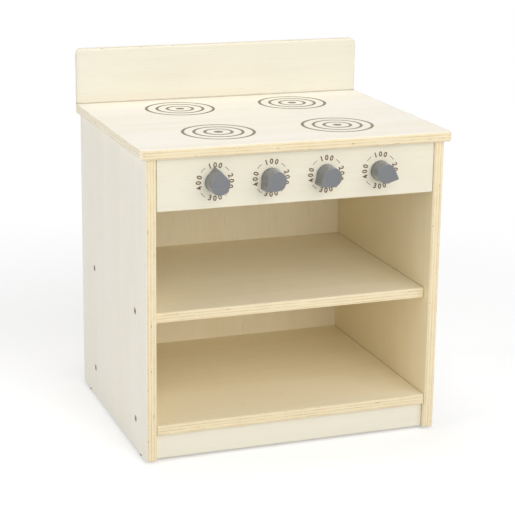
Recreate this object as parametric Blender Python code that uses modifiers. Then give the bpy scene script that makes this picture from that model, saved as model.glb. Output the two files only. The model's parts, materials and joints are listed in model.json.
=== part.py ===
import math

import bmesh
import bpy
from mathutils import Matrix, Vector

# Case
CASE_WIDTH = 0.450
CASE_DEPTH = 0.366
COUNTER_HEIGHT = 0.461
BOARD = 0.015
BACK_THICKNESS = 0.006
BACK_INSET = 0.007
GROOVE_DEPTH = 0.006

# Counter and backsplash
COUNTER_SIDE_OVERHANG = 0.0095
COUNTER_FRONT_OVERHANG = 0.0075
COUNTER_CORNER_RADIUS = 0.008
SPLASH_RISE = 0.085
SPLASH_INSET = 0.002
SPLASH_CORNER_RADIUS = 0.008

# Control panel, shelves and toe kick
PANEL_HEIGHT = 0.075
PANEL_SETBACK = 0.002
MIDDLE_SHELF_TOP = 0.2205
MIDDLE_SHELF_SETBACK = 0.0165
BOTTOM_SHELF_TOP = 0.0565
BOTTOM_SHELF_SETBACK = 0.0025
TOE_KICK_SETBACK = 0.009

# Rounded arrises
SIDE_EASE = 0.0025
COUNTER_EASE = 0.003
SHELF_EASE = 0.001
CORNER_STEPS = 8
EASE_STEPS = 3

# Fits
SEAT_GAP = 0.0003
OVERRUN = 0.002
MERGE = 0.00001
HIDDEN_SIDES = 10
ROUND_SIDES = 16
SKIRT_SIDES = 36
GRIP_STEPS = 26
NOSE_STEPS = 4
SHARP_ANGLE = math.radians(35)

# Knobs, measured from the face of the control panel
KNOB_PITCH_SHARE = 0.1983
KNOB_GAP = 0.0005
KNOB_HEIGHT = 0.0245
KNOB_SKIRT_RADIUS = 0.0150
KNOB_SKIRT_HEIGHT = 0.003
KNOB_SKIRT_EASE = 0.0007
KNOB_GRIP_RADIUS = 0.0145
KNOB_GRIP_LIFT = 0.0004
KNOB_GRIP_DRAFT = 0.0004
KNOB_NOSE_REACH = 0.0214
KNOB_NOSE_RADIUS = 0.0011
KNOB_FACE_EASE = 0.0009
KNOB_WALL = 0.002
KNOB_BOSS_RADIUS = 0.0045
KNOB_RIB = 0.0015
KNOB_RIB_SETBACK = 0.004
KNOB_TURNS_DEG = (92, -137, -143, -25)

# Knob screws and washers
WASHER_THICKNESS = 0.001
WASHER_RADIUS = 0.0058
KNOB_SCREW_RADIUS = 0.002
KNOB_SCREW_GRIP = 0.012
KNOB_SCREW_HEAD_RADIUS = 0.0039
KNOB_SCREW_HEAD_HEIGHT = 0.0026
KNOB_SCREW_PLAY = 0.0005
RECESS_WIDTH = 0.0011
RECESS_REACH = 0.0021
RECESS_DEPTH = 0.0014

# Shelf screws through the side panels
SHELF_SCREW_FRONT_INSET = 0.060
SHELF_SCREW_REAR_INSET = 0.063
SHELF_SCREW_LENGTH = 0.050
SHELF_SCREW_RADIUS = 0.0035
SHELF_SCREW_HEAD_RADIUS = 0.0052
SHELF_SCREW_SOCKET = 0.004
SHELF_SCREW_SOCKET_DEPTH = 0.003
SCREW_POINT = 0.002

# Screws through the backsplash into the counter
SPLASH_SCREW_END_INSET = 0.0475
SPLASH_SCREW_LENGTH = 0.040
SPLASH_SCREW_RADIUS = 0.002
SPLASH_SCREW_HEAD_RADIUS = 0.004

# Cam locks and their bolts, side panels to counter
CAM_FRONT_INSET = 0.060
CAM_REAR_INSET = 0.060
CAM_DROP = 0.024
CAM_RADIUS = 0.0075
CAM_DEPTH = 0.012
CAM_POCKET_RADIUS = 0.005
CAM_SLOT_WIDTH = 0.0016
CAM_SLOT_DEPTH = 0.0018
BOLT_THREAD_LENGTH = 0.011
BOLT_THREAD_RADIUS = 0.003
BOLT_STEM_RADIUS = 0.0027
BOLT_NECK_RADIUS = 0.0014
BOLT_HEAD_RADIUS = 0.0026
BOLT_HEAD_LENGTH = 0.003

# Dowels at the ends of the control panel and the toe kick
DOWEL_RADIUS = 0.004
DOWEL_LENGTH = 0.030
DOWEL_SIDE_DEPTH = 0.010
DOWEL_CHAMFER = 0.001
PANEL_DOWEL_INSET = 0.018
TOE_DOWEL_INSET = 0.0095

# Nail-on glides under the side panels
GLIDE_HEIGHT = 0.004
GLIDE_RADIUS = 0.007
GLIDE_EASE = 0.001
GLIDE_INSET = 0.038
GLIDE_NAIL_RADIUS = 0.0011
GLIDE_NAIL_LENGTH = 0.012
GLIDE_NAIL_POINT = 0.002

# Directions
LEFT = (-1, 0, 0)
RIGHT = (1, 0, 0)
FORWARD = (0, -1, 0)
BACKWARD = (0, 1, 0)
UP = (0, 0, 1)
DOWN = (0, 0, -1)

# Planes that several pieces meet: the origin is on the floor under the middle of the whole stove
KNOB_REACH = KNOB_GAP + KNOB_HEIGHT
FRONT = (KNOB_REACH - PANEL_SETBACK - CASE_DEPTH) / 2
REAR = FRONT + CASE_DEPTH
OUTER = CASE_WIDTH / 2
INNER = OUTER - BOARD
COUNTER_UNDERSIDE = COUNTER_HEIGHT - BOARD
CASE_TOP = COUNTER_UNDERSIDE - SEAT_GAP
SPLASH_FRONT = REAR - BOARD
BACK_FACE = REAR - BACK_INSET - BACK_THICKNESS
PANEL_UNDERSIDE = COUNTER_UNDERSIDE - PANEL_HEIGHT
KNOB_HEIGHT_ON_PANEL = (PANEL_UNDERSIDE + COUNTER_UNDERSIDE) / 2
MIDDLE_SHELF_AXIS = MIDDLE_SHELF_TOP - BOARD / 2
BOTTOM_SHELF_AXIS = BOTTOM_SHELF_TOP - BOARD / 2
TOE_KICK_TOP = BOTTOM_SHELF_TOP - BOARD - SEAT_GAP
PANEL_FRONT = FRONT + PANEL_SETBACK
TOE_KICK_FRONT = FRONT + TOE_KICK_SETBACK
SPLASH_SCREW_HEIGHT = COUNTER_HEIGHT - BOARD / 2
CAM_HEIGHT = CASE_TOP - CAM_DROP
BOSS_END = SEAT_GAP + WASHER_THICKNESS + SEAT_GAP
SIDE_AXIS = OUTER - BOARD / 2

KNOB_PITCH = 2 * INNER * KNOB_PITCH_SHARE
KNOB_COUNT = len(KNOB_TURNS_DEG)
KNOB_PLACES = tuple((turn - (KNOB_COUNT - 1) / 2) * KNOB_PITCH for turn in range(KNOB_COUNT))
SHELF_SCREW_PLACES = (FRONT + SHELF_SCREW_FRONT_INSET, BACK_FACE - SHELF_SCREW_REAR_INSET)
SPLASH_SCREW_PITCH = OUTER + COUNTER_SIDE_OVERHANG - SPLASH_INSET - SPLASH_SCREW_END_INSET
CAM_PLACES = (FRONT + CAM_FRONT_INSET, REAR - CAM_REAR_INSET)
GLIDE_PLACES = (FRONT + GLIDE_INSET, REAR - GLIDE_INSET)
PANEL_DOWEL_HEIGHTS = (PANEL_UNDERSIDE + PANEL_DOWEL_INSET, COUNTER_UNDERSIDE - PANEL_DOWEL_INSET)
TOE_DOWEL_HEIGHTS = (GLIDE_HEIGHT + TOE_DOWEL_INSET, TOE_KICK_TOP - TOE_DOWEL_INSET)


def linear(channel):
    share = channel / 255
    if share <= 0.04045:
        return share / 12.92
    return ((share + 0.055) / 1.055) ** 2.4


def material(name, colour, roughness, metallic):
    made = bpy.data.materials.new(name)
    made.use_nodes = True
    shader = made.node_tree.nodes["Principled BSDF"]
    shader.inputs["Base Color"].default_value = (*(linear(channel) for channel in colour), 1)
    shader.inputs["Roughness"].default_value = roughness
    shader.inputs["Metallic"].default_value = metallic
    made.diffuse_color = shader.inputs["Base Color"].default_value
    return made


def collection(name):
    made = bpy.data.collections.new(name)
    bpy.context.scene.collection.children.link(made)
    return made


for old in list(bpy.data.objects):
    bpy.data.objects.remove(old)
stove = collection("toy_stove")
cutters = collection("cutters")


def mesh_from(name, bm):
    mesh = bpy.data.meshes.new(name)
    bm.normal_update()
    bm.to_mesh(mesh)
    bm.free()
    return mesh


def shade(mesh):
    mesh.shade_smooth()
    mesh.set_sharp_from_angle(angle=SHARP_ANGLE)


def edges_of(bm, way, other=None, but=None):
    # Edges round the face that looks one way: all, only those shared with another side, or all but those
    bm.normal_update()
    found = []
    for edge in bm.edges:
        ways = [tuple(round(part) for part in face.normal) for face in edge.link_faces]
        if ways.count(way) != 1:
            continue
        across = ways[1 - ways.index(way)]
        if across != but and other in (None, across):
            found.append(edge)
    return found


def ease(bm, edges, radius, steps):
    bmesh.ops.bevel(bm, geom=edges, offset=radius, segments=steps, profile=0.5, affect="EDGES")


def board_shape(low, high):
    bm = bmesh.new()
    bmesh.ops.create_cube(bm, size=1)
    bmesh.ops.scale(bm, vec=Vector(high) - Vector(low), verts=bm.verts)
    return bm


def board(name, low, high, bm, colour, roughness=0.45):
    mesh = mesh_from(name, bm)
    shade(mesh)
    mesh.materials.append(material(name, colour, roughness, 0))
    made = bpy.data.objects.new(name, mesh)
    made.location = (Vector(low) + Vector(high)) / 2
    stove.objects.link(made)
    return made


def cut(target, label, bm):
    cutter = bpy.data.objects.new(label, mesh_from(label, bm))
    cutter.display_type = "WIRE"
    cutter.hide_render = True
    cutters.objects.link(cutter)
    combine(target, cutter, "DIFFERENCE")


def combine(target, other, operation):
    modifier = target.modifiers.new(other.name, "BOOLEAN")
    modifier.operation = operation
    modifier.solver = "EXACT"
    modifier.object = other


def facing(way, up=UP):
    # Turns local +Z to one direction and local +Y to another
    return Matrix((Vector(up).cross(Vector(way)), up, way)).transposed()


def cone(bm, mouth, way, mouth_radius, far_radius, depth, sides):
    # Starts an overrun outside its mouth; the flats of its polygon lie at the stated radius
    way = Vector(way)
    middle = Vector(mouth) + way * (depth - OVERRUN) / 2
    turn = way.to_track_quat("Z", "Y").to_matrix().to_4x4()
    flats = math.cos(math.pi / sides)
    bmesh.ops.create_cone(bm, cap_ends=True, segments=sides, radius1=mouth_radius / flats,
                          radius2=far_radius / flats, depth=depth + OVERRUN,
                          matrix=Matrix.Translation(middle) @ turn)


def bore(bm, mouth, way, radius, depth, sides=HIDDEN_SIDES):
    # A round hole with its mouth on a face, running a depth along its way
    cone(bm, mouth, way, radius, radius, depth, sides)


def sink(bm, mouth, way, outer, inner):
    # A 90 degree countersink from a face down to the shank's radius
    cone(bm, mouth, way, outer + OVERRUN, inner, outer - inner, ROUND_SIDES)


def slab(bm, low, high):
    made = bmesh.ops.create_cube(bm, size=1)["verts"]
    bmesh.ops.scale(bm, vec=Vector(high) - Vector(low), verts=made)
    bmesh.ops.translate(bm, vec=(Vector(low) + Vector(high)) / 2, verts=made)


def draft_object(name, mesh):
    made = bpy.data.objects.new(name, mesh)
    cutters.objects.link(made)
    return made


def turned(name, profile, sides=ROUND_SIDES):
    # A profile of radius and height, from the top of its axis down the outside to the bottom
    mesh = bpy.data.meshes.new(name)
    points = [(radius, 0, height) for radius, height in profile]
    mesh.from_pydata(points, [(end - 1, end) for end in range(1, len(points))], [])
    made = draft_object(name, mesh)
    screw = made.modifiers.new("turn", "SCREW")
    screw.axis = "Z"
    screw.angle = 2 * math.pi
    screw.steps = sides
    screw.render_steps = sides
    screw.use_merge_vertices = True
    screw.merge_threshold = MERGE
    return made


def baked(name, base, helpers, look):
    # The finished mesh of a shape and its helpers, which copies can share
    graph = bpy.context.evaluated_depsgraph_get()
    mesh = bpy.data.meshes.new_from_object(base.evaluated_get(graph))
    mesh.name = name
    for obj in (base, *helpers):
        bpy.data.objects.remove(obj)
    shade(mesh)
    mesh.materials.clear()
    mesh.materials.append(look)
    return mesh


def place(name, mesh, spot, turn):
    made = bpy.data.objects.new(name, mesh)
    made.location = spot
    made.rotation_euler = turn.to_euler()
    stove.objects.link(made)
    return made


# Side panels: the front arrises are rounded, the rest is barely eased
def side_panel(name, hand):
    outward = LEFT if hand < 0 else RIGHT
    inward = RIGHT if hand < 0 else LEFT
    low = (min(hand * OUTER, hand * INNER), FRONT, GLIDE_HEIGHT)
    high = (max(hand * OUTER, hand * INNER), REAR, CASE_TOP)
    bm = board_shape(low, high)
    ease(bm, edges_of(bm, FORWARD, but=UP), SIDE_EASE, EASE_STEPS)
    ease(bm, edges_of(bm, outward, other=BACKWARD), SHELF_EASE, EASE_STEPS)
    panel = board(name, low, high, bm, (230, 226, 216))

    holes = bmesh.new()
    sinks = bmesh.new()
    for y in SHELF_SCREW_PLACES:
        for z in (MIDDLE_SHELF_AXIS, BOTTOM_SHELF_AXIS):
            mouth = (hand * OUTER, y, z)
            bore(holes, mouth, inward, SHELF_SCREW_RADIUS + SEAT_GAP, BOARD + OVERRUN, ROUND_SIDES)
            sink(sinks, mouth, inward, SHELF_SCREW_HEAD_RADIUS + SEAT_GAP, SHELF_SCREW_RADIUS + SEAT_GAP)
    for y in CAM_PLACES:
        bore(holes, (hand * INNER, y, CAM_HEIGHT), outward, CAM_RADIUS + SEAT_GAP, CAM_DEPTH + SEAT_GAP,
             ROUND_SIDES)
    dowels = [(PANEL_FRONT + BOARD / 2, z) for z in PANEL_DOWEL_HEIGHTS]
    dowels += [(TOE_KICK_FRONT + BOARD / 2, z) for z in TOE_DOWEL_HEIGHTS]
    for y, z in dowels:
        bore(holes, (hand * INNER, y, z), outward, DOWEL_RADIUS + SEAT_GAP, DOWEL_SIDE_DEPTH + SEAT_GAP)
    cut(panel, name + "_bores", holes)
    cut(panel, name + "_countersinks", sinks)

    ends = bmesh.new()
    for y in CAM_PLACES:
        bore(ends, (hand * SIDE_AXIS, y, CASE_TOP), DOWN, BOLT_THREAD_RADIUS + SEAT_GAP, CAM_DROP)
    for y in GLIDE_PLACES:
        bore(ends, (hand * SIDE_AXIS, y, GLIDE_HEIGHT), UP, GLIDE_NAIL_RADIUS + SEAT_GAP,
             GLIDE_NAIL_LENGTH + SEAT_GAP)
    cut(panel, name + "_end_bores", ends)

    groove = bmesh.new()
    deep = INNER + GROOVE_DEPTH
    shallow = INNER - OVERRUN
    slab(groove,
         (min(hand * deep, hand * shallow), BACK_FACE - SEAT_GAP, TOE_KICK_TOP - SEAT_GAP),
         (max(hand * deep, hand * shallow), BACK_FACE + BACK_THICKNESS + SEAT_GAP, CASE_TOP + OVERRUN))
    cut(panel, name + "_groove", groove)


side_panel("left_side_panel", -1)
side_panel("right_side_panel", 1)

# Counter top
counter_low = (-OUTER - COUNTER_SIDE_OVERHANG, FRONT - COUNTER_FRONT_OVERHANG, COUNTER_UNDERSIDE)
counter_high = (OUTER + COUNTER_SIDE_OVERHANG, SPLASH_FRONT - SEAT_GAP, COUNTER_HEIGHT)
shape = board_shape(counter_low, counter_high)
ease(shape, edges_of(shape, FORWARD, other=LEFT) + edges_of(shape, FORWARD, other=RIGHT),
     COUNTER_CORNER_RADIUS, CORNER_STEPS)
ease(shape, edges_of(shape, UP, but=BACKWARD) + edges_of(shape, DOWN, but=BACKWARD),
     COUNTER_EASE, EASE_STEPS)
counter = board("counter_top", counter_low, counter_high, shape, (247, 240, 224), 0.38)
holes = bmesh.new()
for x in (-SIDE_AXIS, SIDE_AXIS):
    for y in CAM_PLACES:
        bore(holes, (x, y, COUNTER_UNDERSIDE), UP, BOLT_THREAD_RADIUS + SEAT_GAP,
             BOLT_THREAD_LENGTH + SEAT_GAP)
for turn in (-1, 0, 1):
    bore(holes, (turn * SPLASH_SCREW_PITCH, SPLASH_FRONT - SEAT_GAP, SPLASH_SCREW_HEIGHT), FORWARD,
         SPLASH_SCREW_RADIUS + SEAT_GAP, SPLASH_SCREW_LENGTH - BOARD + SEAT_GAP)
cut(counter, "counter_top_bores", holes)

# Backsplash
splash_low = (counter_low[0] + SPLASH_INSET, SPLASH_FRONT, COUNTER_UNDERSIDE)
splash_high = (counter_high[0] - SPLASH_INSET, REAR, COUNTER_HEIGHT + SPLASH_RISE)
shape = board_shape(splash_low, splash_high)
ease(shape, edges_of(shape, UP, other=LEFT) + edges_of(shape, UP, other=RIGHT),
     SPLASH_CORNER_RADIUS, CORNER_STEPS)
ease(shape, edges_of(shape, FORWARD, but=DOWN) + edges_of(shape, BACKWARD, but=DOWN),
     COUNTER_EASE, EASE_STEPS)
splash = board("backsplash", splash_low, splash_high, shape, (241, 233, 214))
holes = bmesh.new()
sinks = bmesh.new()
for turn in (-1, 0, 1):
    mouth = (turn * SPLASH_SCREW_PITCH, REAR, SPLASH_SCREW_HEIGHT)
    bore(holes, mouth, FORWARD, SPLASH_SCREW_RADIUS + SEAT_GAP, BOARD + OVERRUN, ROUND_SIDES)
    sink(sinks, mouth, FORWARD, SPLASH_SCREW_HEAD_RADIUS + SEAT_GAP, SPLASH_SCREW_RADIUS + SEAT_GAP)
cut(splash, "backsplash_bores", holes)
cut(splash, "backsplash_countersinks", sinks)


# Boards between the side panels
def cross_board(name, front, rear, bottom, top, eased, colour):
    low = (SEAT_GAP - INNER, front, bottom)
    high = (INNER - SEAT_GAP, rear, top)
    bm = board_shape(low, high)
    ease(bm, [edge for side in eased for edge in edges_of(bm, FORWARD, other=side)], SHELF_EASE, EASE_STEPS)
    return board(name, low, high, bm, colour)


def end_bores(target, y, heights, radius, depth):
    holes = bmesh.new()
    for x, way in ((SEAT_GAP - INNER, RIGHT), (INNER - SEAT_GAP, LEFT)):
        for place_y in y:
            for z in heights:
                bore(holes, (x, place_y, z), way, radius + SEAT_GAP, depth + SEAT_GAP)
    cut(target, target.name + "_end_bores", holes)


panel = cross_board("control_panel", PANEL_FRONT, PANEL_FRONT + BOARD, PANEL_UNDERSIDE, CASE_TOP,
                    (DOWN,), (239, 232, 215))
end_bores(panel, (PANEL_FRONT + BOARD / 2,), PANEL_DOWEL_HEIGHTS, DOWEL_RADIUS,
          DOWEL_LENGTH - DOWEL_SIDE_DEPTH)
holes = bmesh.new()
for x in KNOB_PLACES:
    bore(holes, (x, PANEL_FRONT, KNOB_HEIGHT_ON_PANEL), BACKWARD, KNOB_SCREW_RADIUS + KNOB_SCREW_PLAY,
         BOARD + OVERRUN)
cut(panel, "control_panel_bores", holes)

middle_shelf = cross_board("middle_shelf", FRONT + MIDDLE_SHELF_SETBACK, BACK_FACE - SEAT_GAP,
                           MIDDLE_SHELF_TOP - BOARD, MIDDLE_SHELF_TOP, (UP, DOWN), (214, 200, 166))
end_bores(middle_shelf, SHELF_SCREW_PLACES, (MIDDLE_SHELF_AXIS,), SHELF_SCREW_RADIUS,
          SHELF_SCREW_LENGTH - BOARD)

bottom_shelf = cross_board("bottom_shelf", FRONT + BOTTOM_SHELF_SETBACK, BACK_FACE - SEAT_GAP,
                           BOTTOM_SHELF_TOP - BOARD, BOTTOM_SHELF_TOP, (UP, DOWN), (214, 200, 166))
end_bores(bottom_shelf, SHELF_SCREW_PLACES, (BOTTOM_SHELF_AXIS,), SHELF_SCREW_RADIUS,
          SHELF_SCREW_LENGTH - BOARD)

toe_kick = cross_board("toe_kick", TOE_KICK_FRONT, TOE_KICK_FRONT + BOARD, GLIDE_HEIGHT, TOE_KICK_TOP,
                       (DOWN,), (237, 230, 208))
end_bores(toe_kick, (TOE_KICK_FRONT + BOARD / 2,), TOE_DOWEL_HEIGHTS, DOWEL_RADIUS,
          DOWEL_LENGTH - DOWEL_SIDE_DEPTH)

# Back panel, held in the side panels' grooves
back_low = (SEAT_GAP - INNER - GROOVE_DEPTH, BACK_FACE, TOE_KICK_TOP)
back_high = (INNER + GROOVE_DEPTH - SEAT_GAP, BACK_FACE + BACK_THICKNESS, CASE_TOP)
board("back_panel", back_low, back_high, board_shape(back_low, back_high), (200, 182, 148), 0.5)

# Fastener and fitting finishes
steel = material("zinc_plated_steel", (176, 178, 180), 0.35, 1)
dark_steel = material("dark_plated_steel", (120, 116, 110), 0.42, 1)
zinc = material("cast_zinc", (150, 152, 154), 0.45, 1)
beech = material("beech_dowel", (206, 170, 122), 0.7, 0)
glide_black = material("black_glide_plastic", (38, 37, 36), 0.5, 0)
nylon = material("natural_nylon", (226, 224, 214), 0.5, 0)
knob_grey = material("grey_knob_plastic", (128, 131, 134), 0.5, 0)


def cross_recess(name, base, floor, top):
    # Two crossed slots in a screw head, between two heights
    helpers = []
    half = RECESS_WIDTH / 2
    for label, reach_x, reach_y in (("_slot_a", RECESS_REACH, half), ("_slot_b", half, RECESS_REACH)):
        bm = bmesh.new()
        slab(bm, (-reach_x, -reach_y, floor), (reach_x, reach_y, top))
        helpers.append(draft_object(name + label, mesh_from(name + label, bm)))
        combine(base, helpers[-1], "DIFFERENCE")
    return helpers


# Shelf screws: flush countersunk head with a hexagon socket
shelf_screw = turned("shelf_screw", (
    (0, -SEAT_GAP),
    (SHELF_SCREW_HEAD_RADIUS - SEAT_GAP, -SEAT_GAP),
    (SHELF_SCREW_RADIUS, SHELF_SCREW_RADIUS - SHELF_SCREW_HEAD_RADIUS),
    (SHELF_SCREW_RADIUS, SCREW_POINT - SHELF_SCREW_LENGTH),
    (SHELF_SCREW_RADIUS - SCREW_POINT / 2, -SHELF_SCREW_LENGTH),
    (0, -SHELF_SCREW_LENGTH),
))
socket = bmesh.new()
bore(socket, (0, 0, 0), DOWN, SHELF_SCREW_SOCKET / 2, SHELF_SCREW_SOCKET_DEPTH, 6)
socket_cutter = draft_object("shelf_screw_socket", mesh_from("shelf_screw_socket", socket))
combine(shelf_screw, socket_cutter, "DIFFERENCE")
shelf_screw_mesh = baked("shelf_screw", shelf_screw, [socket_cutter], dark_steel)
for hand, way in ((-1, LEFT), (1, RIGHT)):
    for shelf, z in (("middle", MIDDLE_SHELF_AXIS), ("bottom", BOTTOM_SHELF_AXIS)):
        for end, y in zip(("front", "rear"), SHELF_SCREW_PLACES):
            name = "{}_shelf_screw_{}_{}".format(shelf, "left" if hand < 0 else "right", end)
            place(name, shelf_screw_mesh, (hand * OUTER, y, z), facing(way))

# Backsplash screws
splash_screw = turned("splash_screw", (
    (0, -SEAT_GAP),
    (SPLASH_SCREW_HEAD_RADIUS - SEAT_GAP, -SEAT_GAP),
    (SPLASH_SCREW_RADIUS, SPLASH_SCREW_RADIUS - SPLASH_SCREW_HEAD_RADIUS),
    (SPLASH_SCREW_RADIUS, SCREW_POINT - SPLASH_SCREW_LENGTH),
    (0, -SPLASH_SCREW_LENGTH),
))
slots = cross_recess("splash_screw", splash_screw, -RECESS_DEPTH - SEAT_GAP, OVERRUN)
splash_screw_mesh = baked("splash_screw", splash_screw, slots, steel)
for turn, label in ((-1, "left"), (0, "middle"), (1, "right")):
    spot = (turn * SPLASH_SCREW_PITCH, REAR, SPLASH_SCREW_HEIGHT)
    place("backsplash_screw_" + label, splash_screw_mesh, spot, facing(BACKWARD))

# Cam bolts: threaded into the counter, with a necked head inside the cam
bolt_head_axis = CAM_HEIGHT - COUNTER_UNDERSIDE
bolt_shoulder = bolt_head_axis + CAM_RADIUS + SEAT_GAP
bolt_mesh = baked("cam_bolt", turned("cam_bolt", (
    (0, BOLT_THREAD_LENGTH),
    (BOLT_THREAD_RADIUS, BOLT_THREAD_LENGTH),
    (BOLT_THREAD_RADIUS, -SEAT_GAP),
    (BOLT_STEM_RADIUS, -SEAT_GAP),
    (BOLT_STEM_RADIUS, bolt_shoulder),
    (BOLT_NECK_RADIUS, bolt_shoulder),
    (BOLT_NECK_RADIUS, bolt_head_axis + BOLT_HEAD_LENGTH / 2),
    (BOLT_HEAD_RADIUS, bolt_head_axis + BOLT_HEAD_LENGTH / 2),
    (BOLT_HEAD_RADIUS, bolt_head_axis - BOLT_HEAD_LENGTH / 2),
    (0, bolt_head_axis - BOLT_HEAD_LENGTH / 2),
), HIDDEN_SIDES), [], steel)

# Cam locks: a disc with a pocket for the bolt's head, an entry hole and a neck slot round half its rim
disc = bmesh.new()
bmesh.ops.create_cone(disc, cap_ends=True, segments=ROUND_SIDES, radius1=CAM_RADIUS, radius2=CAM_RADIUS,
                      depth=CAM_DEPTH, matrix=Matrix.Translation((0, 0, -CAM_DEPTH / 2)))
cam = draft_object("cam_lock", mesh_from("cam_lock", disc))
pocket_half = BOLT_HEAD_RADIUS + SEAT_GAP
neck_half = BOLT_NECK_RADIUS + SEAT_GAP
pocket = bmesh.new()
bmesh.ops.create_cone(pocket, cap_ends=True, segments=ROUND_SIDES, radius1=CAM_POCKET_RADIUS,
                      radius2=CAM_POCKET_RADIUS, depth=2 * pocket_half,
                      matrix=Matrix.Translation((0, 0, -BOARD / 2)))
neck_slot = bmesh.new()
rim_pass = CAM_RADIUS + OVERRUN
slab(neck_slot, (-neck_half, -rim_pass, -BOARD / 2 - neck_half),
     (rim_pass, rim_pass, neck_half - BOARD / 2))
entry = bmesh.new()
bore(entry, (0, -CAM_RADIUS, -BOARD / 2), BACKWARD, pocket_half, CAM_RADIUS, ROUND_SIDES)
driver_slot = bmesh.new()
slab(driver_slot, (-CAM_SLOT_WIDTH / 2, -rim_pass, -CAM_SLOT_DEPTH),
     (CAM_SLOT_WIDTH / 2, rim_pass, OVERRUN))
cam_cutters = []
cam_shapes = {"cam_pocket": pocket, "cam_neck_slot": neck_slot, "cam_entry": entry,
              "cam_driver_slot": driver_slot}
for label, bm in cam_shapes.items():
    cam_cutters.append(draft_object(label, mesh_from(label, bm)))
    combine(cam, cam_cutters[-1], "DIFFERENCE")
cam_mesh = baked("cam_lock", cam, cam_cutters, zinc)
for hand, way in ((-1, RIGHT), (1, LEFT)):
    for end, y in zip(("front", "rear"), CAM_PLACES):
        side = "left" if hand < 0 else "right"
        place("cam_lock_{}_{}".format(side, end), cam_mesh, (hand * INNER, y, CAM_HEIGHT), facing(way))
        place("cam_bolt_{}_{}".format(side, end), bolt_mesh, (hand * SIDE_AXIS, y, COUNTER_UNDERSIDE),
              Matrix.Identity(3))

# Dowels
dowel_mesh = baked("dowel", turned("dowel", (
    (0, DOWEL_LENGTH / 2),
    (DOWEL_RADIUS - DOWEL_CHAMFER, DOWEL_LENGTH / 2),
    (DOWEL_RADIUS, DOWEL_LENGTH / 2 - DOWEL_CHAMFER),
    (DOWEL_RADIUS, DOWEL_CHAMFER - DOWEL_LENGTH / 2),
    (DOWEL_RADIUS - DOWEL_CHAMFER, -DOWEL_LENGTH / 2),
    (0, -DOWEL_LENGTH / 2),
), HIDDEN_SIDES), [], beech)
dowel_x = INNER + DOWEL_SIDE_DEPTH - DOWEL_LENGTH / 2
for hand, side in ((-1, "left"), (1, "right")):
    for label, z in zip(("lower", "upper"), PANEL_DOWEL_HEIGHTS):
        place("panel_dowel_{}_{}".format(side, label), dowel_mesh,
              (hand * dowel_x, PANEL_FRONT + BOARD / 2, z), facing(RIGHT))
    for label, z in zip(("lower", "upper"), TOE_DOWEL_HEIGHTS):
        place("toe_kick_dowel_{}_{}".format(side, label), dowel_mesh,
              (hand * dowel_x, TOE_KICK_FRONT + BOARD / 2, z), facing(RIGHT))

# Nail-on glides
glide_mesh = baked("glide", turned("glide", (
    (0, GLIDE_HEIGHT + GLIDE_NAIL_LENGTH),
    (GLIDE_NAIL_RADIUS, GLIDE_HEIGHT + GLIDE_NAIL_LENGTH - GLIDE_NAIL_POINT),
    (GLIDE_NAIL_RADIUS, GLIDE_HEIGHT - SEAT_GAP),
    (GLIDE_RADIUS, GLIDE_HEIGHT - SEAT_GAP),
    (GLIDE_RADIUS, GLIDE_EASE),
    (GLIDE_RADIUS - GLIDE_EASE, 0),
    (0, 0),
)), [], glide_black)
for hand, side in ((-1, "left"), (1, "right")):
    for label, y in zip(("front", "rear"), GLIDE_PLACES):
        place("glide_{}_{}".format(side, label), glide_mesh, (hand * SIDE_AXIS, y, 0), Matrix.Identity(3))


# Washers: a square section turned at the screw's running clearance
def washer(name, rear_height, look):
    inner = KNOB_SCREW_RADIUS + SEAT_GAP
    front_height = rear_height + WASHER_THICKNESS
    made = turned(name, (
        (inner, front_height),
        (WASHER_RADIUS, front_height),
        (WASHER_RADIUS, rear_height),
        (inner, rear_height),
        (inner, front_height),
    ))
    return baked(name, made, [], look)


front_washer_mesh = washer("knob_washer", SEAT_GAP, nylon)
rear_washer_mesh = washer("screw_washer", -BOARD - SEAT_GAP - WASHER_THICKNESS, steel)

# Knob screws: pan head behind the panel, tip inside the knob's boss
head_seat = -BOARD - BOSS_END
tip = BOSS_END + KNOB_SCREW_GRIP
head_end = head_seat - KNOB_SCREW_HEAD_HEIGHT
knob_screw = turned("knob_screw", (
    (0, tip),
    (KNOB_SCREW_RADIUS - SCREW_POINT / 4, tip),
    (KNOB_SCREW_RADIUS, tip - SCREW_POINT / 4),
    (KNOB_SCREW_RADIUS, head_seat),
    (KNOB_SCREW_HEAD_RADIUS, head_seat),
    (KNOB_SCREW_HEAD_RADIUS, head_seat - KNOB_SCREW_HEAD_HEIGHT / 2),
    (KNOB_SCREW_HEAD_RADIUS - KNOB_SCREW_HEAD_HEIGHT / 3, head_end),
    (0, head_end),
))
slots = cross_recess("knob_screw", knob_screw, head_end - OVERRUN, head_end + RECESS_DEPTH)
knob_screw_mesh = baked("knob_screw", knob_screw, slots, steel)


# Knob: a round skirt, a grip drawn out to one pointing nose, hollow with a ribbed boss
def knob_outline(inset):
    # The outline of the grip: an arc round the axis and a rounded nose, joined by their common tangents
    radius = KNOB_GRIP_RADIUS - inset
    share = (radius - KNOB_NOSE_RADIUS) / (KNOB_GRIP_RADIUS - KNOB_NOSE_RADIUS)
    nose_x = (KNOB_NOSE_REACH - KNOB_NOSE_RADIUS) * share
    touch = math.acos((radius - KNOB_NOSE_RADIUS) / nose_x)
    points = []
    for step in range(GRIP_STEPS + 1):
        angle = touch + (2 * math.pi - 2 * touch) * step / GRIP_STEPS
        points.append((radius * math.cos(angle), radius * math.sin(angle)))
    for step in range(NOSE_STEPS + 1):
        angle = touch * (2 * step / NOSE_STEPS - 1)
        points.append((nose_x + KNOB_NOSE_RADIUS * math.cos(angle), KNOB_NOSE_RADIUS * math.sin(angle)))
    return points


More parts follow.
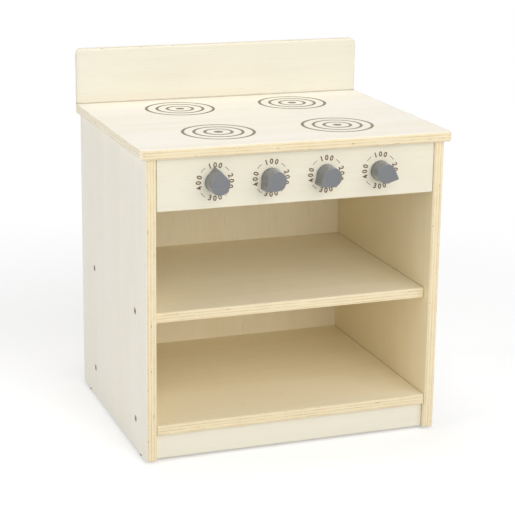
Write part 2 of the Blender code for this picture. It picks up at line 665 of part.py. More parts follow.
def loft(lower, upper, low, high):
    bm = bmesh.new()
    edges = []
    for outline, height in ((lower, low), (upper, high)):
        ring = [bm.verts.new((x, y, height)) for x, y in outline]
        edges += [bm.edges.new((ring[turn - 1], ring[turn])) for turn in range(len(ring))]
    bmesh.ops.bridge_loops(bm, edges=edges)
    bmesh.ops.holes_fill(bm, edges=edges, sides=0)
    bmesh.ops.recalc_face_normals(bm, faces=bm.faces)
    return bm


knob_inside = KNOB_REACH - KNOB_WALL
grip_shape = loft(knob_outline(0), knob_outline(KNOB_GRIP_DRAFT), KNOB_GAP + KNOB_GRIP_LIFT, KNOB_REACH)
ease(grip_shape, edges_of(grip_shape, UP), KNOB_FACE_EASE, EASE_STEPS)
knob = draft_object("knob", mesh_from("knob", grip_shape))
skirt = turned("knob_skirt", (
    (0, KNOB_GAP + KNOB_SKIRT_HEIGHT),
    (KNOB_SKIRT_RADIUS - KNOB_SKIRT_EASE, KNOB_GAP + KNOB_SKIRT_HEIGHT),
    (KNOB_SKIRT_RADIUS, KNOB_GAP + KNOB_SKIRT_HEIGHT - KNOB_SKIRT_EASE),
    (KNOB_SKIRT_RADIUS, KNOB_GAP),
    (0, KNOB_GAP),
), SKIRT_SIDES)
combine(knob, skirt, "UNION")
hollow_shape = loft(knob_outline(KNOB_WALL), knob_outline(KNOB_WALL + KNOB_GRIP_DRAFT),
                    KNOB_GAP - OVERRUN, knob_inside)
hollow = draft_object("knob_hollow", mesh_from("knob_hollow", hollow_shape))
knob_helpers = [skirt, hollow]
boss = bmesh.new()
boss_top = knob_inside + OVERRUN
bore(boss, (0, 0, BOSS_END + OVERRUN), UP, KNOB_BOSS_RADIUS, boss_top - BOSS_END, ROUND_SIDES)
rib_floor = BOSS_END + KNOB_RIB_SETBACK
rib_a = bmesh.new()
slab(rib_a, (-KNOB_NOSE_REACH, -KNOB_RIB / 2, rib_floor), (KNOB_NOSE_REACH, KNOB_RIB / 2, boss_top))
rib_b = bmesh.new()
slab(rib_b, (-KNOB_RIB / 2, -KNOB_GRIP_RADIUS, rib_floor), (KNOB_RIB / 2, KNOB_GRIP_RADIUS, boss_top))
for label, bm in (("knob_boss", boss), ("knob_rib_a", rib_a), ("knob_rib_b", rib_b)):
    knob_helpers.append(draft_object(label, mesh_from(label, bm)))
    combine(hollow, knob_helpers[-1], "DIFFERENCE")
combine(knob, hollow, "DIFFERENCE")
screw_hole = bmesh.new()
bore(screw_hole, (0, 0, BOSS_END), UP, KNOB_SCREW_RADIUS + SEAT_GAP, KNOB_SCREW_GRIP + SEAT_GAP)
knob_helpers.append(draft_object("knob_screw_hole", mesh_from("knob_screw_hole", screw_hole)))
combine(knob, knob_helpers[-1], "DIFFERENCE")
knob_mesh = baked("knob", knob, knob_helpers, knob_grey)

# Each knob turns about its screw's axis, where its origin lies on the face of the control panel
for number, (x, turn_deg) in enumerate(zip(KNOB_PLACES, KNOB_TURNS_DEG), 1):
    axis_point = (x, PANEL_FRONT, KNOB_HEIGHT_ON_PANEL)
    turn = facing(FORWARD) @ Matrix.Rotation(math.radians(turn_deg), 3, "Z")
    place("knob_{}".format(number), knob_mesh, axis_point, turn)
    place("knob_screw_{}".format(number), knob_screw_mesh, axis_point, turn)
    place("knob_washer_{}".format(number), front_washer_mesh, axis_point, facing(FORWARD))
    place("screw_washer_{}".format(number), rear_washer_mesh, axis_point, facing(FORWARD))
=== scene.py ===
import math

import bmesh
import bpy
from mathutils import Matrix, Vector
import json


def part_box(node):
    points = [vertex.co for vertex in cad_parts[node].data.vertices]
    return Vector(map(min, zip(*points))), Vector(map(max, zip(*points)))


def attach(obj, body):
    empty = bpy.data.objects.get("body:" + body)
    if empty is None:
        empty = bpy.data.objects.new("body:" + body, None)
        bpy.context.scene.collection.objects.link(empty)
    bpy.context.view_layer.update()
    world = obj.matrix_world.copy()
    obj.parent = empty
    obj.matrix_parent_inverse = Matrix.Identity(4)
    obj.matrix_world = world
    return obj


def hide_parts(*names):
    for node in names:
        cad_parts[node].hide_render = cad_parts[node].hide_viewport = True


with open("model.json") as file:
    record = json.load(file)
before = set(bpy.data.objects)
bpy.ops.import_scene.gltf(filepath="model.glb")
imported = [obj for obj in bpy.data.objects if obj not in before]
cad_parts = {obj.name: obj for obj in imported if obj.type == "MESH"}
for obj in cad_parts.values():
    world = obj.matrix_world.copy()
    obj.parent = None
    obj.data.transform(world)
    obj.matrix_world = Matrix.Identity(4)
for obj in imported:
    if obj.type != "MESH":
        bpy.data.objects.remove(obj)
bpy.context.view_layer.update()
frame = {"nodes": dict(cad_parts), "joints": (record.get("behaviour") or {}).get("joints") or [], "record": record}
nodes = frame["nodes"]
slotOf = {part["node"]: part["material_slot"] for part in frame["record"]["subparts"]}
print("frame loaded:", len(nodes), "pieces")


def paint(red, green, blue):
    # screen colour, 0 to 255, to the linear colour that a socket takes
    shares = [channel / 255 for channel in (red, green, blue)]
    return tuple(s / 12.92 if s <= 0.04045 else ((s + 0.055) / 1.055) ** 2.4 for s in shares) + (1.0,)


class Channel:
    # one shader socket: sums and products of channels add Math nodes
    def __init__(self, looks, socket):
        self.looks = looks
        self.socket = socket

    def maths(self, operation, *values):
        return self.looks.add("ShaderNodeMath", {"operation": operation}, dict(enumerate(values)))

    def __add__(self, other):
        return self.maths("ADD", self, other)

    def __radd__(self, other):
        return self.maths("ADD", other, self)

    def __sub__(self, other):
        return self.maths("SUBTRACT", self, other)

    def __rsub__(self, other):
        return self.maths("SUBTRACT", other, self)

    def __mul__(self, other):
        return self.maths("MULTIPLY", self, other)

    def __rmul__(self, other):
        return self.maths("MULTIPLY", other, self)

    def __truediv__(self, other):
        return self.maths("DIVIDE", self, other)

    def __abs__(self):
        return self.maths("ABSOLUTE", self)


class Looks:
    # one material and the nodes in it
    def __init__(self, name, seed=(0, 0, 0)):
        self.material = bpy.data.materials.new(name)
        self.material.use_nodes = True
        self.tree = self.material.node_tree
        self.tree.nodes.clear()
        self.seed = seed
        self.place = self.add("ShaderNodeTexCoord", {}, {}, "Object")
        self.facing = self.add("ShaderNodeTexCoord", {}, {}, "Normal")

    def add(self, kind, settings, sockets, output=0):
        # one node: its type, its settings, the values or links of its sockets, the output in use
        node = self.tree.nodes.new(kind)
        for key, value in settings.items():
            setattr(node, key, value)
        for key, value in sockets.items():
            if isinstance(value, Channel):
                self.tree.links.new(value.socket, node.inputs[key])
            else:
                node.inputs[key].default_value = value
        return Channel(self, node.outputs[output]) if node.outputs else None

    def split(self, vector):
        # the x, y and z of a vector
        parts = self.add("ShaderNodeSeparateXYZ", {}, {"Vector": vector})
        return [Channel(self, parts.socket.node.outputs[axis]) for axis in range(3)]

    def noise(self, scale, detail=2.0, roughness=0.5, distortion=0.0):
        # scale is in spots per metre, one number or one for each axis
        scales = scale if isinstance(scale, (list, tuple)) else [scale] * 3
        moved = self.add("ShaderNodeMapping", {},
                         {"Vector": self.place, "Location": self.seed, "Scale": scales})
        return self.add("ShaderNodeTexNoise", {}, {"Vector": moved, "Scale": 1.0, "Detail": detail,
                                                   "Roughness": roughness, "Distortion": distortion})

    def between(self, value, low, high, start=0.0, end=1.0):
        # smoothly from start to end while the value goes from low to high
        return self.add("ShaderNodeMapRange", {"interpolation_type": "SMOOTHSTEP"},
                        {0: value, 1: low, 2: high, 3: start, 4: end})

    def blend(self, factor, first, second):
        return self.add("ShaderNodeMix", {"data_type": "RGBA"}, {0: factor, 6: first, 7: second}, 2)

    def finish(self, colour, roughness, height, bumpDistance, bumpStrength, **fixed):
        bump = self.add("ShaderNodeBump", {}, {"Height": height, "Distance": bumpDistance,
                                               "Strength": bumpStrength})
        sockets = {"Base Color": colour, "Roughness": roughness, "Normal": bump}
        sockets.update({key.replace("_", " "): value for key, value in fixed.items()})
        shader = self.add("ShaderNodeBsdfPrincipled", {}, sockets)
        self.add("ShaderNodeOutputMaterial", {}, {"Surface": shader})
        return self.material


# Birch plywood: lacquered veneer on the faces, sawn plies on the edges
birch = {
    "through": 1, "grain": 0, "plies": 7.0, "jointShades": [],  # axis through the plies, axis along the grain
    "face": paint(235, 228, 210), "dark": paint(225, 212, 187), "figure": 0.34, "fibre": 0.22,
    "fleckColour": paint(200, 178, 143), "fleck": 0.22, "cloudColour": paint(232, 221, 198), "cloud": 0.2,
    "edgeLight": paint(234, 221, 189), "edgeDark": paint(220, 200, 160),
    "endLight": paint(246, 240, 221), "endDark": paint(234, 223, 196),
    "glueColour": paint(190, 158, 112), "glue": 0.34, "voidColour": paint(128, 98, 64), "void": 0.6,
    # painted shade in the joints: its colour, its strength, its width and where it fades out, in shares of that
    # width
    "jointShadeColour": paint(142, 120, 84), "jointShadeStrength": 0.65, "jointShadeWidth": 0.001, "jointShadeSpan": (0.4, 1.3),
    "ply": 0.75, "plyWobble": 0.5, "streak": 0.2, "pore": 0.5,
    # spots per metre: across and along the grain
    "fibreScale": (260.0, 7.0), "figureScale": (13.0, 1.3), "fleckScale": (420.0, 46.0),
    # spots per metre: in the sheet and through the plies
    "fadeScale": (22.0, 260.0), "voidScale": (75.0, 520.0),
    # spots per metre, alike on all axes
    "cloudScale": 5.0, "wobbleScale": 9.0, "poreScale": 900.0, "streakScale": 60.0, "raggedScale": 70.0,
    "wearScale": 18.0,
    # where each pattern starts, and where it is full
    "fibreSpan": (0.3, 0.75), "figureSpan": (0.35, 0.68), "fleckSpan": (0.67, 0.74), "cloudSpan": (0.35, 0.7),
    "veneerSpan": (0.62, 0.9), "insideSpan": (0.2, 0.6), "crossSpan": (0.4, 0.6), "endSpan": (0.5, 0.8),
    "fadeSpan": (0.35, 0.65, 0.35, 1.0), "glueSpan": (0.4, 0.5), "streakSpan": (0.35, 0.7),
    "poreSpan": (0.52, 0.7), "voidSpan": (0.7, 0.74), "wearSpan": (0.4, 0.75),
    # gloss and relief
    "roughness": 0.62, "veneerGloss": 0.08, "wearRoughness": 0.08, "fleckRoughness": 0.08, "specular": 0.16,
    "bumpDistance": 0.00008, "bumpStrength": 0.35,
    "fibreHeight": 0.6, "fleckHeight": -0.5, "glueHeight": -0.8, "poreHeight": 0.4,
}


def mixed(pair, axis):
    # one scale for each axis: the pair's second on the given axis, its first on the others
    return [pair[1] if number == axis else pair[0] for number in range(3)]


def plywood(name, node, board):
    wood = {**birch, **board}
    looks = Looks(name, (wood["seed"], wood["seed"] * 0.7, wood["seed"] * 1.3))
    low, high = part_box(node)
    through, grain = wood["through"], wood["grain"]
    spot = looks.split(looks.place)
    facing = looks.split(looks.facing)
    veneer = looks.between(abs(facing[through]), *wood["veneerSpan"])

    fibres = looks.noise(mixed(wood["fibreScale"], grain), detail=3.0, roughness=0.6)
    figure = looks.noise(mixed(wood["figureScale"], grain), detail=3.0, distortion=0.8)
    flecks = looks.between(looks.noise(mixed(wood["fleckScale"], grain), detail=1.0), *wood["fleckSpan"])
    cloud = looks.between(looks.noise(wood["cloudScale"]), *wood["cloudSpan"])
    tone = (looks.between(figure, *wood["figureSpan"]) * wood["figure"]
            + looks.between(fibres, *wood["fibreSpan"]) * wood["fibre"])
    face = looks.blend(tone, wood["face"], wood["dark"])
    face = looks.blend(flecks * wood["fleck"], face, wood["fleckColour"])
    face = looks.blend(cloud * wood["cloud"], face, wood["cloudColour"])
    # painted bounce light: faces turned into the compartments get the warmer bounce tint
    if "inside" in wood:
        inward = looks.between(facing[through] * wood["inward"], *wood["insideSpan"])
        face = looks.blend(inward, face, looks.blend(tone, wood["inside"], wood["insideDark"]))

    depth = (spot[through] - low[through]) / (high[through] - low[through])
    wobble = looks.noise(wood["wobbleScale"], detail=1.0)
    layer = depth * wood["plies"] + (wobble - 0.5) * wood["plyWobble"]
    part = looks.add("ShaderNodeMath", {"operation": "FRACT"}, {0: layer})
    crossing = looks.add("ShaderNodeMath", {"operation": "PINGPONG"}, {0: layer, 1: 1.0})
    cross = looks.between(crossing, *wood["crossSpan"])
    # on an end grain edge the light and the dark plies change places
    endGrain = looks.between(abs(facing[grain]), *wood["endSpan"])
    cross = cross + endGrain - cross * endGrain * 2
    fading = looks.between(looks.noise(mixed(wood["fadeScale"], through)), *wood["fadeSpan"])
    glueLine = looks.between(abs(part - 0.5), *wood["glueSpan"])
    pores = looks.noise(wood["poreScale"])
    streak = looks.between(looks.noise(wood["streakScale"], detail=3.0), *wood["streakSpan"])
    holes = looks.between(looks.noise(mixed(wood["voidScale"], through), detail=1.0), *wood["voidSpan"])
    light = looks.blend(endGrain, wood["edgeLight"], wood["endLight"])
    dark = looks.blend(endGrain, wood["edgeDark"], wood["endDark"])
    edge = looks.blend(cross * fading * wood["ply"] + streak * wood["streak"], light, dark)
    poreShade = looks.between(pores, *wood["poreSpan"]) * cross * wood["pore"]
    edge = looks.blend(poreShade, edge, wood["glueColour"])
    edge = looks.blend(glueLine * fading * wood["glue"], edge, wood["glueColour"])
    edge = looks.blend(holes * cross * wood["void"], edge, wood["voidColour"])
    colour = looks.blend(veneer, edge, face)
    for axis, joint in wood["jointShades"]:
        # painted shade where the board meets its neighbours: a thin painted gap shadow at the joints and a painted
        # contact shadow under an overhang
        ragged = looks.noise(wood["raggedScale"]) - 0.5
        away = abs(spot[axis] - joint) + ragged * wood["jointShadeWidth"]
        start, end = [wood["jointShadeWidth"] * share for share in wood["jointShadeSpan"]]
        shade = looks.between(away, start, end, wood["jointShadeStrength"], 0.0)
        colour = looks.blend(shade, colour, wood["jointShadeColour"])

    worn = looks.between(looks.noise(wood["wearScale"], detail=3.0), *wood["wearSpan"])
    roughness = (wood["roughness"] - veneer * wood["veneerGloss"] + worn * wood["wearRoughness"]
                 + flecks * wood["fleckRoughness"])
    sawn = 1 - veneer
    height = (fibres * wood["fibreHeight"] + flecks * wood["fleckHeight"]
              + glueLine * sawn * wood["glueHeight"] + pores * sawn * wood["poreHeight"])
    return looks.finish(colour, roughness, height, wood["bumpDistance"], wood["bumpStrength"],
                        Specular_IOR_Level=wood["specular"])


def ends(node):
    # painted shade at the left and the right end of a board, where it meets the side panels
    low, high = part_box(node)
    return [(0, low.x), (0, high.x)]


def top(node):
    # painted shade along the height of a board's upper side, where the next board sits on it or overhangs it
    return [(2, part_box(node)[1].z)]


paleOutside = {"figure": 0.24, "fibre": 0.18, "face": paint(243, 239, 228), "dark": paint(233, 225, 207),
               "cloudColour": paint(239, 233, 218)}
# painted bounce light: the side panels' inner faces get a warmer copy of the veneer for the warm light bouncing in
# the compartments
bounceLitInside = {"inside": paint(251, 238, 205), "insideDark": paint(242, 224, 182)}
# painted light: the counter top gets a lighter copy of the shared veneer for the light falling on it from above
litCounterTop = {"face": paint(246, 242, 231), "dark": paint(238, 228, 208), "cloudColour": paint(243, 236, 220)}
# painted shade: the upright front boards (backsplash, toe kick) get a darker copy of the shared veneer, and the
# control panel a darker one still
shadedFront = {"figure": 0.24, "fleck": 0.14, "face": paint(231, 227, 211), "dark": paint(221, 211, 189),
              "cloudColour": paint(228, 220, 200)}
shadedPanel = {**shadedFront, "face": paint(227, 222, 203), "dark": paint(217, 206, 181)}
creamEdge = {"edgeLight": paint(240, 233, 214), "edgeDark": paint(231, 221, 198), "glue": 0.2}
# painted bounce light: the shelves and the back panel get a lighter, warmer copy of the shared veneer for the warm
# light bouncing in the compartments
bounceLitFace = {"face": paint(251, 240, 212), "dark": paint(242, 226, 191), "cloudColour": paint(248, 234, 203)}
boards = {
    "left_side_panel": dict(through=0, grain=2, seed=2.3, inward=1.0, **paleOutside, **bounceLitInside),
    "right_side_panel": dict(through=0, grain=2, seed=7.1, inward=-1.0, **paleOutside, **bounceLitInside),
    "counter_top": dict(through=2, seed=4.4, **litCounterTop),
    "backsplash": dict(seed=9.2, jointShades=top("counter_top"), jointShadeWidth=0.0016, jointShadeStrength=0.5,
                       **shadedFront, **creamEdge),
    "control_panel": dict(seed=5.7, jointShades=ends("control_panel") + top("control_panel"), **shadedPanel),
    "middle_shelf": dict(through=2, seed=3.8, jointShades=ends("middle_shelf"), **bounceLitFace),
    "bottom_shelf": dict(through=2, seed=6.5, jointShades=ends("bottom_shelf"), **bounceLitFace),
    "toe_kick": dict(seed=8.9, jointShades=ends("toe_kick"), **shadedFront),
    "back_panel": dict(grain=2, seed=1.6, plies=3.0, **bounceLitFace),
}
shell = {"weld": 0.000005, "flat": math.radians(0.5), "sharp": math.radians(32), "faceWeight": 100}


def meshOf(bm, name):
    # hands a finished bmesh over to a new mesh
    mesh = bpy.data.meshes.new(name)
    bm.to_mesh(mesh)
    bm.free()
    return mesh


def merged(node):
    # a copy of a solid with its loose triangles joined up into whole faces
    bm = bmesh.new()
    bm.from_mesh(nodes[node].data)
    bmesh.ops.remove_doubles(bm, verts=bm.verts, dist=shell["weld"])
    bmesh.ops.dissolve_limit(bm, angle_limit=shell["flat"], verts=bm.verts, edges=bm.edges)
    return meshOf(bm, node + "Shell")


def evenNormals(mesh):
    # flat faces stay flat and hand their normals to the rounded arrises beside them
    holder = bpy.data.objects.new("normals", mesh)
    bpy.context.scene.collection.objects.link(holder)
    weighted = holder.modifiers.new("weighted", "WEIGHTED_NORMAL")
    weighted.keep_sharp = True
    weighted.weight = shell["faceWeight"]
    cut = holder.modifiers.new("cut", "TRIANGULATE")
    cut.min_vertices = 5  # triangles and quads stay whole
    cut.keep_custom_normals = True
    graph = bpy.context.evaluated_depsgraph_get()
    even = bpy.data.meshes.new_from_object(holder.evaluated_get(graph))
    bpy.data.objects.remove(holder)
    return even


def dress(name, mesh, body, replaced, material):
    # puts a finished mesh on a body, in place of the solids that it stands for
    mesh.materials.clear()
    mesh.materials.append(material)
    mesh.shade_smooth()
    mesh.set_sharp_from_angle(angle=shell["sharp"])
    piece = bpy.data.objects.new(name, evenNormals(mesh))
    bpy.context.scene.collection.objects.link(piece)
    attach(piece, body)
    if replaced:
        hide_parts(*replaced)


for node, board in boards.items():
    birchFinish = plywood(node + "_birch", node, board)
    dress(node + "_dressed", merged(node), "case", [node], birchFinish)
print("boards dressed:", len(boards))


# Metal fittings
metalGrain = {"grimeScale": 160.0, "grimeSpan": (0.4, 0.75), "grime": 0.5, "dullSpan": (0.35, 0.7),
              "dull": 0.15, "scratchScale": (900.0, 120.0, 900.0), "scratchRoughness": 0.08,
              "bumpDistance": 0.00003, "bumpStrength": 0.2}
metalLooks = {
    "steel": {"colour": paint(190, 192, 194), "grimeColour": paint(150, 146, 138), "roughness": 0.3},
    "dark_steel": {"colour": paint(150, 144, 134), "grimeColour": paint(92, 84, 74), "roughness": 0.36},
    "zinc": {"colour": paint(168, 170, 172), "grimeColour": paint(120, 118, 112), "roughness": 0.42},
}


def metal(name, metalLook):
    look = {**metalGrain, **metalLook}
    looks = Looks(name)
    grime = looks.noise(look["grimeScale"], detail=4.0, roughness=0.6)
    scratches = looks.noise(look["scratchScale"])
    colour = looks.blend(looks.between(grime, *look["grimeSpan"]) * look["grime"], look["colour"],
                         look["grimeColour"])
    roughness = (look["roughness"] + looks.between(grime, *look["dullSpan"]) * look["dull"]
                 + scratches * look["scratchRoughness"])
    return looks.finish(colour, roughness, scratches, look["bumpDistance"], look["bumpStrength"],
                        Metallic=1.0)


# Moulded plastic
plasticGrain = {"grainScale": 1400.0, "rubScale": 90.0, "rubSpan": (0.45, 0.75), "rub": 0.4,
                "polishSpan": (0.4, 0.7), "polish": 0.08, "bumpDistance": 0.00006, "coatRoughness": 0.22}
plasticLooks = {
    "knobs": {"colour": paint(101, 104, 107), "rubbed": paint(112, 114, 116), "roughness": 0.4,
              "bumpStrength": 0.3, "coat": 1.0},
    "nylon": {"colour": paint(228, 226, 216), "rubbed": paint(216, 212, 200), "roughness": 0.45,
              "bumpStrength": 0.1, "coat": 0.0},
    "glides": {"colour": paint(20, 20, 19), "rubbed": paint(38, 37, 35), "roughness": 0.6,
               "bumpStrength": 0.3, "coat": 0.0},
}


def plastic(name, plasticLook):
    look = {**plasticGrain, **plasticLook}
    looks = Looks(name)
    grain = looks.noise(look["grainScale"])
    rub = looks.noise(look["rubScale"], detail=4.0, roughness=0.6)
    colour = looks.blend(looks.between(rub, *look["rubSpan"]) * look["rub"], look["colour"], look["rubbed"])
    roughness = look["roughness"] - looks.between(rub, *look["polishSpan"]) * look["polish"]
    return looks.finish(colour, roughness, grain, look["bumpDistance"], look["bumpStrength"],
                        Coat_Weight=look["coat"], Coat_Roughness=look["coatRoughness"])


# Beech dowels
beech = {"colour": paint(216, 180, 132), "dark": paint(186, 144, 98), "fibreScale": (40.0, 700.0, 700.0),
         "fibreSpan": (0.3, 0.7), "roughness": 0.7, "bumpDistance": 0.0001, "bumpStrength": 0.4}


def dowelBeech(name):
    looks = Looks(name)
    fibres = looks.noise(beech["fibreScale"], detail=3.0)
    colour = looks.blend(looks.between(fibres, *beech["fibreSpan"]), beech["colour"], beech["dark"])
    return looks.finish(colour, beech["roughness"], fibres, beech["bumpDistance"], beech["bumpStrength"])


finishes = {slotName: metal(slotName + "Finish", look) for slotName, look in metalLooks.items()}
finishes.update({slotName: plastic(slotName + "Finish", look) for slotName, look in plasticLooks.items()})
finishes["dowels"] = dowelBeech("dowelBeech")
for node, piece in nodes.items():
    if slotOf[node] in finishes:
        piece.data.materials.clear()
        piece.data.materials.append(finishes[slotOf[node]])
print("fasteners finished")


# Knobs: a round skirt under a round grip that is drawn out to one nose
knob = {"turns": (92, -137, -143, -25), "gap": 0.0005, "height": 0.0245,
        "skirtRadius": 0.0150, "skirtHeight": 0.003, "skirtEase": 0.0007, "skirtSteps": 3,
        "gripRadius": 0.0145, "gripStart": 0.0004, "draft": 0.0004, "noseReach": 0.0214, "noseRadius": 0.0011,
        "faceEase": 0.0009, "faceSteps": 5, "roundSides": 96, "noseSides": 32,
        "flat": math.radians(0.2), "slack": 0.00001}
facingOut = Matrix(((1, 0, 0), (0, 0, -1), (0, 1, 0)))  # stands local Z out of the control panel


def easeRim(bm, verts, level, ease, steps):
    # rounds the edges between those of the given points that lie at a level
    high = {vert for vert in verts if vert.co.z > level - knob["slack"]}
    rim = [edge for edge in bm.edges if all(vert in high for vert in edge.verts)]
    bmesh.ops.bevel(bm, geom=rim, offset=ease, segments=steps, profile=0.5, affect="EDGES", material=-1)


def knobMesh(number, joint):
    bm = bmesh.new()
    face = knob["gap"] + knob["height"]
    for height, inset in ((knob["gap"] + knob["gripStart"], 0.0), (face, knob["draft"])):
        radius = knob["gripRadius"] - inset
        share = (radius - knob["noseRadius"]) / (knob["gripRadius"] - knob["noseRadius"])
        nose = (knob["noseReach"] - knob["noseRadius"]) * share
        bmesh.ops.create_circle(bm, cap_ends=False, segments=knob["roundSides"], radius=radius,
                                matrix=Matrix.Translation((0, 0, height)))
        bmesh.ops.create_circle(bm, cap_ends=False, segments=knob["noseSides"], radius=knob["noseRadius"],
                                matrix=Matrix.Translation((nose, 0, height)))
    hull = bmesh.ops.convex_hull(bm, input=bm.verts)
    spare = set(hull["geom_interior"] + hull["geom_unused"])
    spare = [part for part in spare if isinstance(part, bmesh.types.BMVert)]
    bmesh.ops.delete(bm, geom=spare, context="VERTS")
    bmesh.ops.dissolve_limit(bm, angle_limit=knob["flat"], verts=bm.verts, edges=bm.edges)
    easeRim(bm, bm.verts, face, knob["faceEase"], knob["faceSteps"])
    skirt = bmesh.ops.create_cone(bm, cap_ends=True, segments=knob["roundSides"], radius1=knob["skirtRadius"],
                                  radius2=knob["skirtRadius"], depth=knob["skirtHeight"],
                                  matrix=Matrix.Translation((0, 0, knob["gap"] + knob["skirtHeight"] / 2)))
    easeRim(bm, skirt["verts"], knob["gap"] + knob["skirtHeight"], knob["skirtEase"], knob["skirtSteps"])
    bmesh.ops.recalc_face_normals(bm, faces=bm.faces)
    turn = (facingOut @ Matrix.Rotation(math.radians(knob["turns"][number]), 3, "Z")).to_4x4()
    bmesh.ops.transform(bm, matrix=Matrix.Translation(joint["pos_m"]) @ turn, verts=bm.verts)
    return meshOf(bm, "knobShell")


for number, joint in enumerate(frame["joints"]):
    body = joint["child"]
    dress(f"knobShell_{number + 1}", knobMesh(number, joint), body, [body], finishes["knobs"])


# Print: burner rings on the counter, number rings round the knobs
inkWear = {"wornScale": 220.0, "wornSpan": (0.4, 0.75), "wornShare": 0.35, "wornRoughness": 0.1,
           "fibreScale": (9.0, 300.0, 300.0), "fibreSpan": (0.5, 0.8), "fibreShare": 0.15,
           "roughness": 0.45, "bumpDistance": 0.00004, "bumpStrength": 0.2}
burner = {"places": ((-0.092, -0.0855), (0.092, -0.0855), (-0.092, 0.0995), (0.092, 0.0995)),
          "radius": 0.0537, "rings": (1.0, 0.70, 0.41), "line": 0.0044, "ringSides": 128, "dot": 0.0068,
          "dotSides": 48, "thick": 0.00008, "sink": 0.00002,
          "colour": paint(119, 108, 88), "worn": paint(146, 135, 112)}
# each number's place: its angle on the ring, which way its figures run, whether their tops point outwards
dial = {"numbers": ("100", "200", "300", "400"),
        "places": ((90, -1, True), (0, -1, True), (270, 1, False), (180, -1, True)),
        "size": 0.0102, "bold": 0.00036, "middle": 0.0237, "step": 18.5, "weld": 0.000001,
        "dashes": (45, 135, 225, 315), "dashRadius": 0.0248, "dashLine": 0.0008, "dashSpan": 19.0,
        "dashSteps": 6,
        "thick": 0.00008, "sink": 0.00002, "colour": paint(98, 70, 48), "worn": paint(134, 106, 80)}


def ink(name, printed):
    looks = Looks(name)
    worn = looks.noise(inkWear["wornScale"], detail=3.0)
    fibre = looks.noise(inkWear["fibreScale"])
    thin = (looks.between(worn, *inkWear["wornSpan"]) * inkWear["wornShare"]
            + looks.between(fibre, *inkWear["fibreSpan"]) * inkWear["fibreShare"])
    colour = looks.blend(thin, printed["colour"], printed["worn"])
    roughness = inkWear["roughness"] + worn * inkWear["wornRoughness"]
    return looks.finish(colour, roughness, fibre, inkWear["bumpDistance"], inkWear["bumpStrength"])


def ring(bm, outer, inner, sides):
    # a flat ring in an empty bmesh
    for radius in (outer, inner):
        bmesh.ops.create_circle(bm, cap_ends=False, segments=sides, radius=radius)
    return bmesh.ops.bridge_loops(bm, edges=bm.edges)["faces"]


def thicken(bm, faces, thick):
    # makes flat faces a closed plate
    raised = bmesh.ops.extrude_face_region(bm, geom=faces, use_keep_orig=True)["geom"]
    verts = [part for part in raised if isinstance(part, bmesh.types.BMVert)]
    bmesh.ops.translate(bm, vec=(0, 0, thick), verts=verts)
    bmesh.ops.recalc_face_normals(bm, faces=bm.faces)


def placed(bm, matrix, into):
    # moves a finished shape to its place and adds it to another
    bmesh.ops.transform(bm, matrix=matrix, verts=bm.verts)
    mesh = meshOf(bm, "part")
    into.from_mesh(mesh)
    bpy.data.meshes.remove(mesh)


def glyph(text):
    # a figure as a flat closed shape, its middle on the origin
    words = bpy.data.curves.new("glyph", "FONT")
    words.body = text
    words.size = dial["size"]
    words.offset = dial["bold"]
    words.extrude = dial["thick"] / 2
    words.align_x = "CENTER"
    words.align_y = "CENTER"
    holder = bpy.data.objects.new("glyph", words)
    bpy.context.scene.collection.objects.link(holder)
    graph = bpy.context.evaluated_depsgraph_get()
    mesh = bpy.data.meshes.new_from_object(holder.evaluated_get(graph))
    bpy.data.objects.remove(holder)
    bm = bmesh.new()
    bm.from_mesh(mesh)
    bmesh.ops.remove_doubles(bm, verts=bm.verts, dist=dial["weld"])
    bpy.data.meshes.remove(mesh)
    return bm


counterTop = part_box("counter_top")[1].z
rings = bmesh.new()
for x, y in burner["places"]:
    spot = Matrix.Translation((x, y, counterTop - burner["sink"]))
    for share in burner["rings"]:
        one = bmesh.new()
        outer = burner["radius"] * share
        thicken(one, ring(one, outer, outer - burner["line"], burner["ringSides"]), burner["thick"])
        placed(one, spot, rings)
    one = bmesh.new()
    bmesh.ops.create_circle(one, cap_ends=True, segments=burner["dotSides"], radius=burner["dot"])
    thicken(one, list(one.faces), burner["thick"])
    placed(one, spot, rings)
dress("burnerPrint", meshOf(rings, "burnerPrint"), "case", [], ink("burnerInk", burner))

numbers = bmesh.new()
for joint in frame["joints"]:
    home = Matrix.Translation(Vector(joint["pos_m"]) + Vector((0, dial["sink"], 0))) @ facingOut.to_4x4()
    for text, (middle, run, outwards) in zip(dial["numbers"], dial["places"]):
        for index, figure in enumerate(text):
            angle = math.radians(middle + run * (index - (len(text) - 1) / 2) * dial["step"])
            x, y = dial["middle"] * math.cos(angle), dial["middle"] * math.sin(angle)
            tilt = angle - math.pi / 2 if outwards else angle + math.pi / 2
            spot = Matrix.Translation((x, y, dial["thick"] / 2)) @ Matrix.Rotation(tilt, 4, "Z")
            placed(glyph(figure), home @ spot, numbers)
    for middle in dial["dashes"]:
        dash = bmesh.new()
        start = math.radians(middle - dial["dashSpan"] / 2)
        x, y = dial["dashRadius"] * math.cos(start), dial["dashRadius"] * math.sin(start)
        inner = dash.verts.new((x, y, 0))
        outer = dash.verts.new(inner.co * (1 + dial["dashLine"] / dial["dashRadius"]))
        bmesh.ops.spin(dash, geom=[inner, outer, dash.edges.new((inner, outer))], cent=(0, 0, 0),
                       axis=(0, 0, 1), angle=math.radians(dial["dashSpan"]), steps=dial["dashSteps"],
                       use_duplicate=False)
        thicken(dash, list(dash.faces), dial["thick"])
        placed(dash, home, numbers)
dress("dialPrint", meshOf(numbers, "dialPrint"), "case", [], ink("dialInk", dial))
print("print laid on the counter and the control panel")


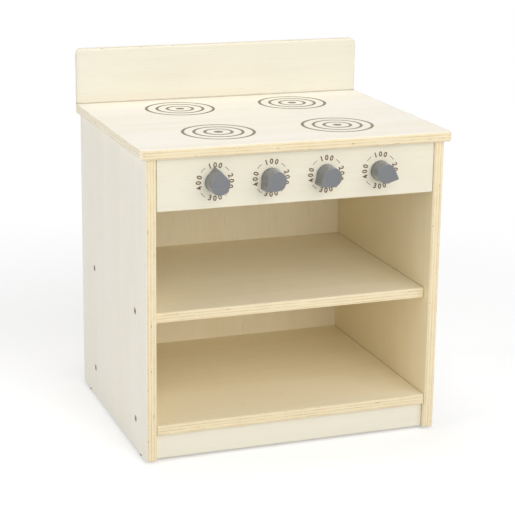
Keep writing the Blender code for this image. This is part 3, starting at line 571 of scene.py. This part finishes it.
# Stage: pale floor, soft lamps, white surroundings
stage = {"floorSize": 30.0, "floorColour": paint(228, 228, 228), "speckColour": paint(222, 222, 222),
         "speckScale": 40.0, "speck": 0.1, "floorGlow": 0.34, "fadeSpan": (0.5, 1.3), "white": (1, 1, 1, 1),
         "worldLight": 0.28, "aim": (0, 0, 0.25)}
lamps = {
    "keyLamp": {"place": (1.4, -2.5, 1.85), "size": 3.0, "power": 50.0},
    "frontLamp": {"place": (-0.3, -3.0, 1.2), "size": 2.6, "power": 35.0},
    "leftLamp": {"place": (-2.6, -0.2, 1.2), "size": 2.0, "power": 29.0},
    "topLamp": {"place": (0.0, 0.25, 2.6), "size": 1.0, "power": 18.0},
}


def isSeen(looks):
    # 1 where the camera looks straight or by a mirror or glass, 0 for the light that falls on things
    rays = looks.add("ShaderNodeLightPath", {}, {}, "Is Camera Ray")
    glossy = Channel(looks, rays.socket.node.outputs["Is Glossy Ray"])
    through = Channel(looks, rays.socket.node.outputs["Is Transmission Ray"])
    settings = {"operation": "ADD", "use_clamp": True}
    return looks.add("ShaderNodeMath", settings, {0: rays + glossy, 1: through})


bm = bmesh.new()
bmesh.ops.create_grid(bm, x_segments=1, y_segments=1, size=stage["floorSize"] / 2)
floorMesh = meshOf(bm, "floor")
floor = bpy.data.objects.new("floor", floorMesh)
bpy.context.scene.collection.objects.link(floor)
paper = Looks("floorPaper")
seen = isSeen(paper)
speck = paper.noise(stage["speckScale"], detail=3.0)
tint = paper.blend(speck * stage["speck"], stage["floorColour"], stage["speckColour"])
diffuse = paper.add("ShaderNodeBsdfDiffuse", {}, {"Color": tint})
glow = paper.add("ShaderNodeEmission", {}, {"Color": stage["white"], "Strength": seen * stage["floorGlow"]})
white = paper.add("ShaderNodeEmission", {}, {"Color": stage["white"], "Strength": 1.0})
away = paper.add("ShaderNodeVectorMath", {"operation": "LENGTH"}, {0: paper.place}, 1)
fade = paper.between(away, *stage["fadeSpan"]) * seen
near = paper.add("ShaderNodeAddShader", {}, {0: diffuse, 1: glow})
surface = paper.add("ShaderNodeMixShader", {}, {0: fade, 1: near, 2: white})
paper.add("ShaderNodeOutputMaterial", {}, {"Surface": surface})
floorMesh.materials.append(paper.material)

world = bpy.data.worlds.new("studio")
bpy.context.scene.world = world
world.use_nodes = True
world.node_tree.nodes.clear()


class WorldLooks(Looks):
    # the same helpers on the world's own nodes
    def __init__(self, tree):
        self.tree = tree


sky = WorldLooks(world.node_tree)
strength = isSeen(sky) * (1 - stage["worldLight"]) + stage["worldLight"]
background = sky.add("ShaderNodeBackground", {}, {"Color": stage["white"], "Strength": strength})
sky.add("ShaderNodeOutputWorld", {}, {"Surface": background})

for name, lamp in lamps.items():
    light = bpy.data.lights.new(name, "AREA")
    light.shape = "SQUARE"
    light.size = lamp["size"]
    light.energy = lamp["power"]
    holder = bpy.data.objects.new(name, light)
    holder.location = lamp["place"]
    holder.rotation_euler = (Vector(stage["aim"]) - holder.location).to_track_quat("-Z", "Y").to_euler()
    bpy.context.scene.collection.objects.link(holder)

# focal length and frame width are in the photograph's pixels, angles in radians
view = {"place": (-0.8346, -2.2816, 0.9322), "yaw": 0.3510, "pitch": 0.2608, "roll": 0.0132, "focal": 1650.0,
        "frame": 515.0, "shift": -0.05, "reach": 50.0}
camera = bpy.data.cameras.new("camera")
camera.sensor_fit = "HORIZONTAL"
camera.lens = view["focal"] / view["frame"] * camera.sensor_width
camera.shift_y = view["shift"]
camera.clip_end = view["reach"]
ahead = math.cos(view["pitch"])
forward = Vector((math.sin(view["yaw"]) * ahead, math.cos(view["yaw"]) * ahead, -math.sin(view["pitch"])))
level = Vector((math.cos(view["yaw"]), -math.sin(view["yaw"]), 0))
up = level.cross(forward)
right = level * math.cos(view["roll"]) + up * math.sin(view["roll"])
up = up * math.cos(view["roll"]) - level * math.sin(view["roll"])
eye = bpy.data.objects.new("camera", camera)
eye.matrix_world = Matrix.Translation(view["place"]) @ Matrix((right, up, -forward)).transposed().to_4x4()
bpy.context.scene.collection.objects.link(eye)
bpy.context.scene.camera = eye
bpy.context.scene.view_settings.view_transform = "Standard"
print("stage, lamps and camera set")
